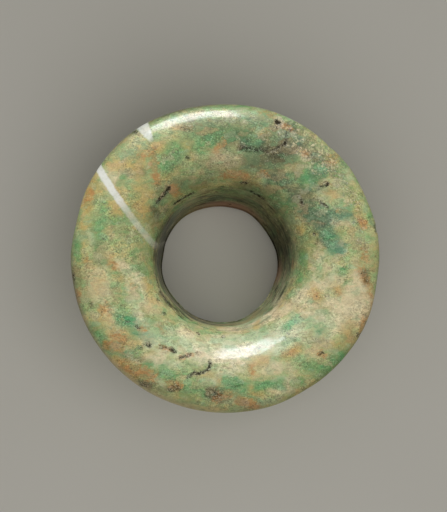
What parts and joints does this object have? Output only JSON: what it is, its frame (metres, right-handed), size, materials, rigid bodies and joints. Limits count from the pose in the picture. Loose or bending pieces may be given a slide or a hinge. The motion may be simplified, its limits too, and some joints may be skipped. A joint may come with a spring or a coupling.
{
  "type": "ear ornament",
  "caption": "Carved and polished greenstone ear flare: a trumpet-shaped disc with a rolled lip, opening out of a drilled bore through a short hollow stem.",
  "frame": {"origin": "centre of the flat end of the stem, on the axis of the bore; the ornament lies on that end", "axes": "+Z along the bore's axis, out of the flare; +X is the picture's right and +Y its top, with the ornament seen from the front"},
  "size_m": [0.0599, 0.0599, 0.0202],
  "materials": {
    "greenstone": "polished"
  },
  "bodies": {
    "root": {"ear_flare_stone": "greenstone"}
  },
  "joints": []
}
